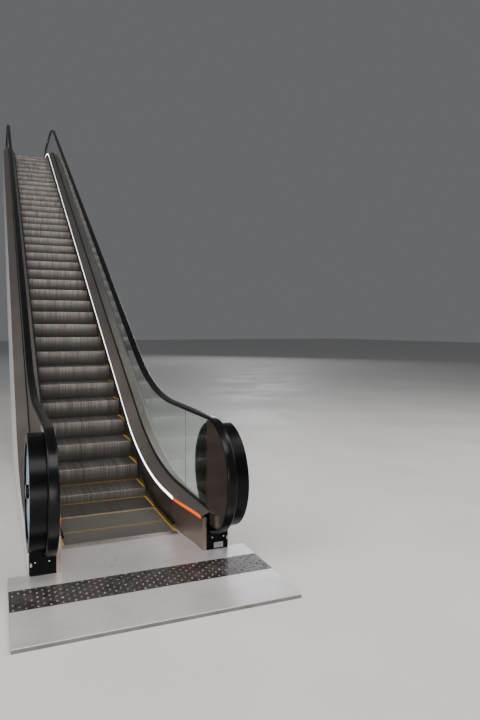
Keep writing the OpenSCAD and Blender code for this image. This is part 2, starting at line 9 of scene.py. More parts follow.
import bpy
import numpy as np
from bpy.props import FloatProperty, FloatVectorProperty, PointerProperty
from bpy.types import Operator, Panel, PropertyGroup
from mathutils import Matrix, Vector


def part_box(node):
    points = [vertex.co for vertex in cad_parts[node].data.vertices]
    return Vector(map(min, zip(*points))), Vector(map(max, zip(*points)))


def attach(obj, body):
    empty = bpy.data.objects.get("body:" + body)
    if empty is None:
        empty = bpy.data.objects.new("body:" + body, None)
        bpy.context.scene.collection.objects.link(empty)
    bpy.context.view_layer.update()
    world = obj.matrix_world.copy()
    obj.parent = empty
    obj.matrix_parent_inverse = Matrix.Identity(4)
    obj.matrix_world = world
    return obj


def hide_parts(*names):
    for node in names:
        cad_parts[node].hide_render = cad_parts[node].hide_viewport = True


bl_info = {
    "name": "Escalator looks",
    "version": (1, 0, 0),
    "blender": (4, 5, 0),
    "location": "3D View > Sidebar > Escalator",
    "description": "Cleats, handrails, landing details and finishes of an indoor escalator",
    "category": "Object",
}

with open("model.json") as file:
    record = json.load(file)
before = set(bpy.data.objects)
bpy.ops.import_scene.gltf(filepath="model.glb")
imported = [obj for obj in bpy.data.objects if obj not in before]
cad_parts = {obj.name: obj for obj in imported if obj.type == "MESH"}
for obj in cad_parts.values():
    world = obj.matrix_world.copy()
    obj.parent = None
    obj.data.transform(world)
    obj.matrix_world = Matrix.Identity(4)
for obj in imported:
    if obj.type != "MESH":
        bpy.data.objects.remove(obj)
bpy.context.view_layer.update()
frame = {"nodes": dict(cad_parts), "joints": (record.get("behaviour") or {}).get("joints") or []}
NODES = frame["nodes"]
WHEEL = next(j["pos_m"] for j in frame["joints"] if j["name"].startswith("right"))

FLOOR_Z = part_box("lower_floor_plate_front")[1].z
TOP_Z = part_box("upper_floor_plate")[1].z
SKIRT_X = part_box("skirt_right")[0].x
GLASS_X = sum(c.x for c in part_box("glass_right")) / 2
STEP_HALF = 0.502
SIDES = ((1, "right"), (-1, "left"))
SHARP_ANGLE = math.radians(35)

# A guide's heights over the walking line, at the lower level, on the slope and at the upper level, and
# the radii of its lower and upper bend.
RAIL_HEIGHTS = (1.1, 1.07, 1.0)
RAIL_RADII = (3.2, 2.6)
UPPER_NEWEL_RADIUS = 0.43
DECK_HEIGHTS = (0.275, 0.31, 0.24)
DECK_RADII = (3.5, 2.6)
DECK_ENDS = (-0.45, 15.9)
DECK_RISE = 0.03

# Y of the joints between the cladding's panels, in which the decks are divided too.
PANEL_ENDS = (1.45, *np.arange(3.9, 14.5, 2.45), 15.2)
JOINT_HALF = 0.0015
JOINT_PROUD = 0.0005

# The steps that have no cleats in the construction: the first and last step of each node, counted from
# the lower comb.
STEP_COUNT = 43
BARE_STEPS = {
    "steps_lower": (2, 3), "steps_incline_1": (4, 12), "steps_incline_2": (13, 21),
    "steps_incline_3": (22, 30), "steps_incline_4": (31, 38), "steps_upper": (39, 40),
}
# The lowest risers' cleats end at this Z, just above the base frame.
LOWEST_CLEAT = 0.009


# Sizes and colours


def length(name, words, value):
    """A length property with its name, description and default in metres."""
    return FloatProperty(name=name, description=words, default=value, unit="LENGTH", precision=4)


def colour(name, words, value):
    """A colour property with its name, description and default."""
    return FloatVectorProperty(
        name=name, description=words, default=value, size=3, min=0, max=1, subtype="COLOR"
    )


class EscalatorSizes(PropertyGroup):
    """Sizes that the added pieces are made from."""

    incline: FloatProperty(
        name="Incline", description="Slope of the flight", default=math.radians(30), subtype="ANGLE"
    )
    pitch: length("Step pitch", "Step to step along the chain", 0.4064)
    phase: length("Step phase", "Lower comb line to the first tread's rear edge", 0.289)
    lower_level: length("Lower level", "Level run behind the lower comb", 0.902)
    upper_level: length("Upper level", "Level run before the upper comb", 1.12)
    bend: length("Step bend", "Radius of the step line's bends", 1.715)
    riser_gap: length("Riser gap", "Gap between a tread and the next riser", 0.004)
    cleat_pitch: length("Cleat pitch", "Distance from cleat to cleat", 0.00912)
    cleat_width: length("Cleat width", "Width of a cleat", 0.003)
    cleat_height: length("Cleat height", "Height of a cleat over its groove", 0.005)
    groove_drop: length("Groove drop", "Drop of a tread's grooves below the floor", 0.01)
    mark_depth: length("Rear marking", "Depth of the marking at a tread's rear", 0.026)
    mark_width: length("Side marking", "Width of the marking at a tread's sides", 0.016)
    rail_width: length("Handrail width", "Width of the handrail", 0.08)
    rail_depth: length("Handrail depth", "Depth of the handrail", 0.028)
    stud_across: length("Stud columns", "Distance between columns of studs", 0.04)
    stud_along: length("Stud rows", "Distance between studs of a column", 0.069)
    stud_radius: length("Stud radius", "Radius of a tactile stud", 0.0092)


class EscalatorColours(PropertyGroup):
    """Colours of the finishes."""

    step: colour("Step", "Die-cast steps", (0.26, 0.245, 0.235))
    yellow: colour("Step marking", "Yellow strips on the steps", (0.85, 0.50, 0.025))
    deck: colour("Deck", "Brushed stainless decks", (0.42, 0.37, 0.34))
    plate: colour("Floor plate", "Landing plates and combs", (0.86, 0.785, 0.77))
    skirt: colour("Skirt", "Coated skirts and their brushed ends", (0.30, 0.245, 0.215))
    rubber: colour("Handrail", "Black handrail rubber", (0.0038, 0.0037, 0.004))
    cover: colour("Newel cover", "Dark brown gloss", (0.042, 0.032, 0.029))
    wheel: colour("Newel wheel", "Pale blue disc", (0.30, 0.47, 0.66))
    light: colour("Skirt light", "White light strip", (1.0, 0.96, 0.93))
    signal: colour("Landing light", "Orange light strip", (1.0, 0.12, 0.0))
    glass: colour("Glass", "Clear glass with a green edge", (0.86, 0.94, 0.90))
    cladding: colour("Cladding", "Pale painted panels", (0.70, 0.69, 0.67))
    floor: colour("Stage floor", "Plain pale floor", (0.62, 0.61, 0.60))


# Shapes. A part is a list of vertices, its quads and the rings of vertices that close its ends.


def path(start, heading, parts, fine, coarse=0.6):
    """Points and headings of a line in the side plane.

    Each part is ("line", length) or ("arc", radius, turn): a line adds equal steps along the heading,
    and an arc keeps its points at the radius from a centre square to the heading, which lies to the left
    for a positive turn. Points are about fine apart on an arc, and coarse on a line."""
    point, points, angles = np.array(start, float), [], []
    for kind, size, *rest in parts:
        if kind == "line":
            t = np.linspace(0, size, max(2, int(size / coarse) + 1))
            a = np.full(len(t), heading)
            p = point + t[:, None] * [math.cos(heading), math.sin(heading)]
        else:
            turn = rest[0]
            side = math.copysign(1, turn)
            a = heading + np.linspace(0, turn, max(3, int(abs(turn) * size / fine) + 1))
            centre = point + side * size * np.array([-math.sin(heading), math.cos(heading)])
            p = centre + side * size * np.stack([np.sin(a), -np.cos(a)], 1)
            heading += turn
        points.append(p if not points else p[1:])
        angles.append(a if not angles else a[1:])
        point = p[-1]
    return np.concatenate(points), np.concatenate(angles)


def sweep(points, angles, section):
    """Vertices of a section of (normal, across) carried along a path, as a rows by columns grid.

    A vertex is the path's point plus its normal, the heading turned a quarter left, times the section's
    first number; the second is its X."""
    n, x = section[:, 0], section[:, 1]
    y = points[:, :1] - np.sin(angles)[:, None] * n
    z = points[:, 1:] + np.cos(angles)[:, None] * n
    return np.stack([np.broadcast_to(x, y.shape), y, z], -1)


def grid_faces(rows, cols):
    """Quads of a grid of vertices whose last column joins the first."""
    r = np.arange(rows - 1)[:, None]
    c = np.arange(cols)[None, :]
    d = (c + 1) % cols
    corners = [r * cols + c, r * cols + d, (r + 1) * cols + d, (r + 1) * cols + c]
    return np.stack(corners, -1).reshape(-1, 4)


def closed(rows, cols):
    """Quads of a tube of vertices, and the two rings that close its ends."""
    return grid_faces(rows, cols), [np.arange(cols)[::-1], np.arange(cols) + (rows - 1) * cols]


def turned_over(part):
    """A part whose faces look the other way."""
    v, quads, rings = part
    return v, quads[:, ::-1], [r[::-1] for r in rings]


def rounded(points, radii, count=5):
    """An outline whose corners are arcs: each arc touches both its edges at radius / tan(half angle)."""
    p = np.array(points, float)
    out = []
    for i, r in enumerate(radii):
        a, b = p[i - 1] - p[i], p[(i + 1) % len(p)] - p[i]
        a, b = a / np.linalg.norm(a), b / np.linalg.norm(b)
        half = math.acos(float(np.clip(a @ b, -1, 1))) / 2
        if r <= 0:
            out.append(p[i : i + 1])
            continue
        centre = p[i] + (a + b) / np.linalg.norm(a + b) * r / math.sin(half)
        start, end = p[i] + a * r / math.tan(half) - centre, p[i] + b * r / math.tan(half) - centre
        t = np.linspace(0, 1, count)[:, None]
        v = start * (1 - t) + end * t
        out.append(centre + v / np.linalg.norm(v, axis=1)[:, None] * r)
    return np.concatenate(out)


def turned(profile, count=48):
    """A solid of revolution about X: each (radius, height) of a profile from its foot up becomes a circle
    of radius (cos t, sin t) at that height, and both ends are closed."""
    t = np.linspace(0, 2 * math.pi, count, endpoint=False)
    r, h = np.asarray(profile, float).T
    x = np.broadcast_to(h[:, None], (len(h), count))
    v = np.stack([x, r[:, None] * np.cos(t), r[:, None] * np.sin(t)], -1)
    return (v.reshape(-1, 3), *closed(len(h), count))


def placed(part, axes, centre):
    """A part whose X, Y and Z are laid along three axes and moved to a centre; mirrored axes turn its
    faces over, so that they look outward again."""
    v, quads, rings = part
    axes = np.array(axes, float)
    moved = (v @ axes + centre, quads, rings)
    return turned_over(moved) if np.linalg.det(axes) < 0 else moved


def boxes(lows, highs):
    """Upright boxes between rows of low and high corners."""
    lows, highs = np.atleast_2d(lows).astype(float), np.atleast_2d(highs).astype(float)
    foot = np.array([[0, 0, 0], [1, 0, 0], [1, 1, 0], [0, 1, 0]])
    pick = np.concatenate([foot, foot + [0, 0, 1]])
    v = lows[:, None] * (1 - pick) + highs[:, None] * pick
    q = np.array([[0, 3, 2, 1], [4, 5, 6, 7], [0, 1, 5, 4], [1, 2, 6, 5], [2, 3, 7, 6], [3, 0, 4, 7]])
    return v.reshape(-1, 3), (np.arange(len(lows))[:, None, None] * 8 + q).reshape(-1, 4), []


def joined(parts):
    """Several parts as one; each part's faces are counted on from the ones before."""
    counts = np.cumsum([0] + [len(p[0]) for p in parts])
    v = np.concatenate([p[0] for p in parts])
    quads = np.concatenate([p[1] + n for p, n in zip(parts, counts)])
    return v, quads, [r + n for p, n in zip(parts, counts) for r in p[2]]


def rounded_plate(x, z, y, radius, count=4):
    """An upright plate with round corners: an X and Z rectangle whose corners are arcs, drawn from the
    first Y to the second, with its rim drawn in by 0.8 mm at both faces."""
    bevel = 0.0008
    outline = rounded([(x[0], z[0]), (x[1], z[0]), (x[1], z[1]), (x[0], z[1])], [radius] * 4, count)
    middle = np.array([sum(x) / 2, sum(z) / 2])
    shrunk = 1 - bevel / (outline.max(0) - middle).min()
    e = bevel * np.sign(y[1] - y[0])
    loops = ((shrunk, y[0]), (1, y[0] + e), (1, y[1] - e), (shrunk, y[1]))
    v = np.concatenate([np.insert(middle + (outline - middle) * k, 1, d, 1) for k, d in loops])
    part = (v, *closed(len(loops), len(outline)))
    return turned_over(part) if y[1] > y[0] else part


def put_mesh(name, part, looks, body="structure", index=None, smooth=True):
    """Makes an object of a part, gives it its finishes and lets it ride on a body."""
    vertices = np.asarray(part[0], np.float32).reshape(-1, 3)
    quads = np.asarray(part[1], np.int32).reshape(-1, 4)
    rings = [np.asarray(r, np.int32) for r in part[2]]
    loops = np.concatenate([quads.ravel()] + rings)
    sizes = np.concatenate([np.full(len(quads), 4), [len(r) for r in rings]]).astype(np.int32)
    starts = np.concatenate([[0], np.cumsum(sizes)[:-1]]).astype(np.int32)
    mesh = bpy.data.meshes.new(name)
    mesh.vertices.add(len(vertices))
    mesh.vertices.foreach_set("co", vertices.ravel())
    mesh.loops.add(len(loops))
    mesh.loops.foreach_set("vertex_index", loops)
    mesh.polygons.add(len(sizes))
    mesh.polygons.foreach_set("loop_start", starts)
    mesh.polygons.foreach_set("loop_total", sizes)
    if index is not None:
        mesh.polygons.foreach_set("material_index", np.asarray(index, np.int32))
    mesh.polygons.foreach_set("use_smooth", np.full(len(sizes), smooth))
    mesh.update(calc_edges=True)
    mesh.validate()
    if smooth:
        mesh.set_sharp_from_angle(angle=SHARP_ANGLE)
    for look in looks:
        mesh.materials.append(material(look))
    piece = bpy.data.objects.new(name, mesh)
    bpy.context.scene.collection.objects.link(piece)
    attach(piece, body)
    return piece


# Lines of the escalator in the side plane


def step_line(s):
    """The Y of the two vertices of the step line, where its levels would meet its slope, the length of its
    straight slope and its whole length along the chain."""
    half = math.tan(s.incline / 2)
    low = s.lower_level + s.bend * half
    up = low + (TOP_Z - FLOOR_Z) / math.tan(s.incline)
    straight = (up - low) / math.cos(s.incline) - 2 * s.bend * half
    arc = s.bend * s.incline
    return low, up, straight, s.lower_level + 2 * arc + straight + s.upper_level


def upper_comb(s):
    """Y of the upper comb line: the upper vertex, the bend's tangent and the upper level, end to end."""
    return step_line(s)[1] + s.bend * math.tan(s.incline / 2) + s.upper_level


def step_points(s, first, last):
    """Rear edges of the treads from first to last: the step line's level, bend, slope, bend and level
    pieces, each worked out for the chain lengths that fall in it."""
    straight, total = step_line(s)[2:]
    comb_up, rise = upper_comb(s), TOP_Z - FLOOR_Z
    sin, cos = math.sin(s.incline), math.cos(s.incline)
    u = s.phase + np.arange(first, last + 1) * s.pitch
    arc = s.bend * s.incline
    a = s.lower_level
    t = (u - a) / s.bend
    v = u - a - arc
    w = (total - s.upper_level - u) / s.bend
    cases = [u <= a, u <= a + arc, u <= a + arc + straight, u <= total - s.upper_level]
    y_low = [u, a + s.bend * np.sin(t), a + s.bend * sin + v * cos]
    y = np.select(cases, y_low + [comb_up - s.upper_level - s.bend * np.sin(w)], comb_up - total + u)
    z_low = [0 * u, s.bend * (1 - np.cos(t)), s.bend * (1 - cos) + v * sin]
    z = np.select(cases, z_low + [rise - s.bend * (1 - np.cos(w))], rise)
    return np.stack([y, FLOOR_Z - s.groove_drop + z], 1)


def guide(s, heights, radii, y_from, y_to):
    """Parts of a balustrade line from one Y to another: level, bend, slope, bend and level, with the
    bends tangent to lines at the given heights over the walking line."""
    low, up = step_line(s)[:2]
    tan, half = math.tan(s.incline), math.tan(s.incline / 2)
    y0 = low + (heights[0] - heights[1]) / tan
    y1 = up + (heights[2] - heights[1]) / tan
    slope = (y1 - y0) / math.cos(s.incline) - (radii[0] + radii[1]) * half
    start, end = y0 - radii[0] * half, y1 + radii[1] * half
    return [
        ("line", start - y_from), ("arc", radii[0], s.incline), ("line", slope),
        ("arc", radii[1], -s.incline), ("line", y_to - end),
    ]


# Finishes

# Sockets of a Mix node that mixes colours: its two colours, and the result.
FIRST, SECOND, MIXED = 6, 7, 2
DUST = (0.20, 0.175, 0.15, 1)


def new_group(name, inputs, outputs):
    """An empty shader node group with named inputs (name, kind, default) and outputs (name, kind)."""
    group = bpy.data.node_groups.new(name, "ShaderNodeTree")
    for label, kind, default in inputs:
        socket = group.interface.new_socket(label, in_out="INPUT", socket_type=kind)
        if default is not None:
            socket.default_value = default
    for label, kind in outputs:
        group.interface.new_socket(label, in_out="OUTPUT", socket_type=kind)
    return group, group.nodes.new("NodeGroupInput"), group.nodes.new("NodeGroupOutput")


def add_node(nodes, kind, values=None, **settings):
    """A shader node of a kind, with settings of its own and then values on its sockets."""
    node = nodes.new(f"ShaderNode{kind}")
    for setting, value in settings.items():
        setattr(node, setting, value)
    for socket, value in (values or {}).items():
        node.inputs[socket].default_value = value
    return node


def brushed_grain():
    """Fine lines of brushing: the height is noise stretched along an axis, and the tone is 0.6 of a slow
    noise plus 0.4 of the fine one."""
    group, enter, leave = new_group(
        "Brushed grain",
        [("Vector", "NodeSocketVector", None), ("Stretch", "NodeSocketVector", (4, 4, 400))],
        [("Height", "NodeSocketFloat"), ("Tone", "NodeSocketFloat")],
    )
    nodes, links = group.nodes, group.links
    scale = add_node(nodes, "VectorMath", operation="MULTIPLY")
    fine = add_node(nodes, "TexNoise", {"Scale": 1.0, "Detail": 3.0})
    slow = add_node(nodes, "TexNoise", {"Scale": 2.3, "Detail": 4.0})
    mix = add_node(nodes, "Math", {1: 0.6}, operation="MULTIPLY_ADD")
    ease = add_node(nodes, "Math", {1: 0.4}, operation="MULTIPLY")
    links.new(enter.outputs["Vector"], scale.inputs[0])
    links.new(enter.outputs["Stretch"], scale.inputs[1])
    links.new(scale.outputs[0], fine.inputs["Vector"])
    links.new(enter.outputs["Vector"], slow.inputs["Vector"])
    links.new(fine.outputs[0], ease.inputs[0])
    links.new(slow.outputs[0], mix.inputs[0])
    links.new(ease.outputs[0], mix.inputs[2])
    links.new(fine.outputs[0], leave.inputs["Height"])
    links.new(mix.outputs[0], leave.inputs["Tone"])
    return group


def grime():
    """Soft dust and smudges: the mask is a coarse noise stretched to the full range, and the height is a
    fine noise."""
    group, enter, leave = new_group(
        "Grime",
        [("Vector", "NodeSocketVector", None), ("Scale", "NodeSocketFloat", 6.0)],
        [("Mask", "NodeSocketFloat"), ("Height", "NodeSocketFloat")],
    )
    nodes, links = group.nodes, group.links
    big = add_node(nodes, "TexNoise", {"Detail": 5.0, "Roughness": 0.65})
    small = add_node(nodes, "TexNoise", {"Scale": 90.0, "Detail": 2.0})
    ramp = add_node(nodes, "MapRange", {"From Min": 0.38, "From Max": 0.68})
    links.new(enter.outputs["Vector"], big.inputs["Vector"])
    links.new(enter.outputs["Scale"], big.inputs["Scale"])
    links.new(enter.outputs["Vector"], small.inputs["Vector"])
    links.new(big.outputs[0], ramp.inputs["Value"])
    links.new(ramp.outputs[0], leave.inputs["Mask"])
    links.new(small.outputs[0], leave.inputs["Height"])
    return group


GROUPS = {"grain": brushed_grain(), "grime": grime()}


def shift_tone(value, factor):
    """A colour made lighter or darker."""
    return tuple(min(1.0, c * factor) for c in value)


def finish(
    name, base, roughness, metallic=0.0, stretch=None, spread=0.22, rough_spread=0.12, bump=0.15,
    grime_scale=5.0, dust=0.0, tint=(1, 1, 1), **fixed
):
    """A Principled material: its colour and roughness follow brushed grain or grime on Object coordinates.

    The colour runs from the base less its spread to the base plus its spread, and the roughness likewise.
    The tint turns the lighter tone a little warmer or cooler. Where dust is above nothing, the grime's
    mask also lays a thin grey-brown film on the surface and roughens it. The other names are values on
    the shader's own sockets."""
    made = bpy.data.materials.new(name)
    made.use_nodes = True
    nodes, links = made.node_tree.nodes, made.node_tree.links
    shader = nodes["Principled BSDF"]
    where = add_node(nodes, "TexCoord")
    smudge = add_node(nodes, "Group", {"Scale": grime_scale}, node_tree=GROUPS["grime"])
    links.new(where.outputs["Object"], smudge.inputs["Vector"])
    mask, height = smudge.outputs["Mask"], smudge.outputs["Height"]
    if stretch:
        grain = add_node(nodes, "Group", {"Stretch": stretch}, node_tree=GROUPS["grain"])
        links.new(where.outputs["Object"], grain.inputs["Vector"])
        mask, height = grain.outputs["Tone"], grain.outputs["Height"]
    dark = (*shift_tone(base, 1 - spread), 1)
    pale = (*(c * t for c, t in zip(shift_tone(base, 1 + spread), tint)), 1)
    tone = add_node(nodes, "Mix", {FIRST: dark, SECOND: pale}, data_type="RGBA")
    links.new(mask, tone.inputs[0])
    low, high = max(0.02, roughness - rough_spread), min(1.0, roughness + rough_spread)
    rough = add_node(nodes, "MapRange", {"To Min": low, "To Max": high})
    links.new(mask, rough.inputs["Value"])
    paint, gloss = tone.outputs[MIXED], rough.outputs[0]
    if dust:
        film = add_node(nodes, "Math", {1: dust}, operation="MULTIPLY")
        cover = add_node(nodes, "Mix", {SECOND: DUST}, data_type="RGBA")
        add = add_node(nodes, "Math", {1: 0.6}, operation="MULTIPLY_ADD")
        links.new(smudge.outputs["Mask"], film.inputs[0])
        links.new(film.outputs[0], cover.inputs[0])
        links.new(paint, cover.inputs[FIRST])
        links.new(film.outputs[0], add.inputs[0])
        links.new(gloss, add.inputs[2])
        paint, gloss = cover.outputs[MIXED], add.outputs[0]
    links.new(paint, shader.inputs["Base Color"])
    links.new(gloss, shader.inputs["Roughness"])
    if bump:
        relief = add_node(nodes, "Bump", {"Strength": bump, "Distance": 0.0006})
        links.new(height, relief.inputs["Height"])
        links.new(relief.outputs[0], shader.inputs["Normal"])
    shader.inputs["Metallic"].default_value = metallic
    for socket, value in fixed.items():
        shader.inputs[socket.replace("_", " ")].default_value = value
    return made


def parts_of(made):
    """A material's nodes, its links and its shader."""
    return made.node_tree.nodes, made.node_tree.links, made.node_tree.nodes["Principled BSDF"]


def lay_over(made, mask, tone, blend="MIX"):
    """Lays a tone over a material's colour where the mask is high."""
    nodes, links, shader = parts_of(made)
    layer = add_node(nodes, "Mix", {SECOND: (*tone, 1)}, data_type="RGBA", blend_type=blend)
    links.new(mask, layer.inputs[0])
    links.new(shader.inputs["Base Color"].links[0].from_socket, layer.inputs[FIRST])
    links.new(layer.outputs[MIXED], shader.inputs["Base Color"])


def glow(name, base, strength):
    """A lit diffuser: its colour changes a little along its length, and its base is 0.4 of its light."""
    dim = 0.4
    made = finish(name, shift_tone(base, dim), 0.35, spread=0.05, bump=0.0, Specular_IOR_Level=0.1)
    nodes, links, shader = parts_of(made)
    links.new(nodes["Mix"].outputs[MIXED], shader.inputs["Emission Color"])
    shader.inputs["Emission Strength"].default_value = strength / dim
    return made


def wheel_finish(name, base):
    """Pale disc with soft dark rays of painted reflection, the dark sectors between the turned metal's
    highlights:
    the cosine of three times the angle round the axle is 1 on three rays, and only its last fifth darkens
    the disc."""
    made = finish(name, base, 0.28, grime_scale=3.0, spread=0.10, bump=0.05)
    nodes, links, _ = parts_of(made)
    place = add_node(nodes, "Mapping", {"Location": (0, -WHEEL[1], -WHEEL[2])})
    split = add_node(nodes, "SeparateXYZ")
    angle = add_node(nodes, "Math", operation="ARCTAN2")
    triple = add_node(nodes, "Math", {1: 3.0}, operation="MULTIPLY")
    wave = add_node(nodes, "Math", operation="COSINE")
    ends = {"From Min": 0.80, "From Max": 1.0}
    painted_reflection_ray = add_node(nodes, "MapRange", ends, interpolation_type="SMOOTHSTEP")
    links.new(nodes["Texture Coordinate"].outputs["Object"], place.inputs["Vector"])
    links.new(place.outputs[0], split.inputs[0])
    links.new(split.outputs[1], angle.inputs[0])
    links.new(split.outputs[2], angle.inputs[1])
    links.new(angle.outputs[0], triple.inputs[0])
    links.new(triple.outputs[0], wave.inputs[0])
    links.new(wave.outputs[0], painted_reflection_ray.inputs["Value"])
    # painted reflection: the three rays darken the disc's colour
    lay_over(made, painted_reflection_ray.outputs[0], (0.38, 0.42, 0.48), "MULTIPLY")
    return made


CAST = dict(stretch=(60, 5, 5), spread=0.3, dust=0.2, grime_scale=3)


def cleat_finish(name, base):
    """Die-cast metal of the cleats: streaked along them, and lighter and smoother where their own
    attribute of rubbed wear and painted sheen is high; its low end is painted shade down the risers and to
    the sides."""
    made = finish(name, shift_tone(base, 0.5), 0.50, 0.85, bump=0.1, **CAST)
    nodes, links, shader = parts_of(made)
    sheen_and_wear = add_node(nodes, "Attribute", attribute_name="wear")
    # rubbed wear and painted sheen: a tone 2.6 times the base, laid where the attribute is high
    lay_over(made, sheen_and_wear.outputs["Fac"], shift_tone(base, 2.6))
    smooth = add_node(nodes, "Math", {1: -0.2}, operation="MULTIPLY_ADD")
    links.new(sheen_and_wear.outputs["Fac"], smooth.inputs[0])
    links.new(shader.inputs["Roughness"].links[0].from_socket, smooth.inputs[2])
    links.new(smooth.outputs[0], shader.inputs["Roughness"])
    return made


def step_finish(name, base):
    """Die-cast metal of the step bodies: dark in the grooves, and lighter on the tops of the cast cleats,
    which lie in two thin level layers just under the landings."""
    made = finish(name, shift_tone(base, 0.45), 0.5, 0.7, bump=0.12, **CAST)
    nodes, links, _ = parts_of(made)
    split = add_node(nodes, "SeparateXYZ")
    links.new(nodes["Texture Coordinate"].outputs["Object"], split.inputs[0])
    both = add_node(nodes, "Math", operation="MAXIMUM")
    under, within = 0.0035, 0.0036
    for place, level in enumerate((FLOOR_Z, TOP_Z)):
        layer = add_node(nodes, "Math", {1: level - under, 2: within}, operation="COMPARE")
        links.new(split.outputs[2], layer.inputs[0])
        links.new(layer.outputs[0], both.inputs[place])
    lay_over(made, both.outputs[0], shift_tone(base, 1.5))
    return made


def skirt_end_finish(name, base):
    """Brushed foot of the newel, lighter than the skirt."""
    brushed = dict(stretch=(2, 2, 420), spread=0.12, bump=0.05, dust=0.06)
    return finish(name, shift_tone(base, 1.35), 0.30, 1.0, **brushed)


def glass_finish(name, base):
    """Clear glass, faintly green, with slightly smudged faces."""
    made = finish(name, base, 0.03, grime_scale=1.2, spread=0.03, rough_spread=0.02, bump=0.0)
    shader = parts_of(made)[2]
    shader.inputs["Transmission Weight"].default_value = 1.0
    shader.inputs["IOR"].default_value = 1.5
    return made


# Each finish: its maker, its material's name, its colour (a setting's name, or red, green and blue), the
# maker's next values and its named values.
FINISHES = {
    "step": (step_finish, "Step metal", "step"),
    "cleat": (cleat_finish, "Cleat metal", "step"),
    "yellow": (finish, "Step marking", "yellow", 0.5, dict(spread=0.25, grime_scale=30, dust=0.3)),
    "deck": (
        finish, "Brushed deck", "deck", 0.38, 1.0,
        dict(stretch=(420, 2, 2), spread=0.10, bump=0.08, dust=0.08),
    ),
    "base": (skirt_end_finish, "Brushed skirt end", "skirt"),
    "plate": (
        finish, "Floor plate", "plate", 0.33, 0.6,
        dict(
            stretch=(1.6, 34, 3), spread=0.2, rough_spread=0.22, bump=0.2, grime_scale=4, dust=0.12,
            tint=(0.93, 0.97, 1.0),
        ),
    ),
    "comb": (
        finish, "Comb metal", "plate", 0.34, 1.0,
        dict(stretch=(420, 6, 6), spread=0.12, bump=0.12, dust=0.1),
    ),
    "skirt": (
        finish, "Coated skirt", "skirt", 0.34, 1.0,
        dict(stretch=(2, 6, 220), spread=0.12, bump=0.03, dust=0.06),
    ),
    "brush": (
        finish, "Brush bristles", (0.008, 0.008, 0.008), 0.85,
        dict(stretch=(30, 900, 900), bump=0.8, Specular_IOR_Level=0.15),
    ),
    "rubber": (
        finish, "Handrail rubber", "rubber", 0.24,
        dict(grime_scale=7, spread=0.25, rough_spread=0.04, bump=0.0, Specular_IOR_Level=0.17),
    ),
    "cover": (
        finish, "Newel gloss", "cover", 0.16,
        dict(grime_scale=3, spread=0.12, rough_spread=0.04, bump=0.0, Specular_IOR_Level=0.4),
    ),
    "drum": (
        finish, "Drum gloss", (0.0025, 0.0024, 0.0025), 0.27,
        dict(grime_scale=4, rough_spread=0.03, bump=0.0, Specular_IOR_Level=0.12),
    ),
    "box": (
        finish, "Inlet plastic", (0.0028, 0.0027, 0.003), 0.42,
        dict(grime_scale=20, bump=0.1, Specular_IOR_Level=0.1),
    ),
    "paint": (
        finish, "Frame paint", (0.19, 0.18, 0.17), 0.5, 0.2,
        dict(grime_scale=8, bump=0.2, dust=0.3),
    ),
    "clamp": (
        finish, "Clamp rubber", (0.010, 0.010, 0.010), 0.55,
        dict(grime_scale=40, spread=0.1, bump=0.05, Specular_IOR_Level=0.25),
    ),
    "guide": (finish, "Rail guide", (0.55, 0.55, 0.54), 0.3, 1.0, dict(stretch=(300, 3, 3), bump=0.1)),
    "cladding": (
        finish, "Cladding paint", "cladding", 0.42,
        dict(grime_scale=1.6, spread=0.05, bump=0.06, dust=0.12),
    ),
    "tactile": (
        finish, "Tactile strip", (0.027, 0.024, 0.023), 0.32,
        dict(grime_scale=9, spread=0.3, rough_spread=0.06, bump=0.05, dust=0.12),
    ),
    "stud": (
        finish, "Tactile stud", (0.42, 0.39, 0.38), 0.24, 0.9,
        dict(grime_scale=16, spread=0.5, rough_spread=0.06, bump=0.05, dust=0.1),
    ),
    "bright": (finish, "Bright metal", (0.72, 0.71, 0.69), 0.22, 1.0, dict(grime_scale=60, bump=0.05)),
    "label": (
        finish, "Bare plate", (0.36, 0.37, 0.38), 0.38, 0.7,
        dict(stretch=(3, 3, 300), spread=0.12, bump=0.05, dust=0.15),
    ),
    "joint": (finish, "Joint shadow", (0.014, 0.013, 0.012), 0.7, dict(grime_scale=40, bump=0.1)),
    "glass": (glass_finish, "Clear glass", "glass"),
    "wheel": (wheel_finish, "Newel disc", "wheel"),
    "white light": (glow, "White light", "light", 6.0),
    "orange light": (glow, "Orange light", "signal", 1.3),
}
MATERIALS = {}


def material(name):
    """A finish by its plain name, made when it is first asked for."""
    if name not in MATERIALS:
        maker, label, base, *values = FINISHES[name]
        named = values.pop() if values and isinstance(values[-1], dict) else {}
        if isinstance(base, str):
            base = getattr(bpy.context.scene.escalator_colours, base)
        MATERIALS[name] = maker(label, base, *values, **named)
    return MATERIALS[name]


NODE_FINISH = {
    "frame": "paint", "rails": "paint", "truss": "paint", "beams": "paint", "bracket": "paint",
    "floor_plate": "plate", "comb_plate": "plate", "tactile": "tactile", "comb": "comb", "steps": "step",
    "skirt_left": "skirt", "skirt_right": "skirt", "brushes": "brush", "skirt_lights": "white light",
    "direction_lights": "orange light", "newel_base": "base", "inner_deck": "deck",
    "outer_decks": "deck", "feet": "clamp", "glass_left": "glass", "glass_right": "glass",
    "guides": "guide", "handrail_left": "rubber", "handrail_right": "rubber", "covers": "cover",
    "drum": "drum", "wheel": "wheel", "inlets": "box", "cladding": "cladding", "soffit": "cladding",
}


def finish_of(node):
    """The finish of a construction node: that of the longest listed word that its name holds."""
    words = [w for w in NODE_FINISH if w in node]
    if not words:
        raise RuntimeError(f"no finish for {node}")
    return NODE_FINISH[max(words, key=len)]


# Operators


class ESCALATOR_OT_finishes(Operator):
    """Give every construction node its procedural finish"""

    bl_idname = "escalator.finishes"
    bl_label = "Finishes"

    def execute(self, context):
        for name, node in NODES.items():
            node.data.materials.clear()
            node.data.materials.append(material(finish_of(name)))
        return {"FINISHED"}


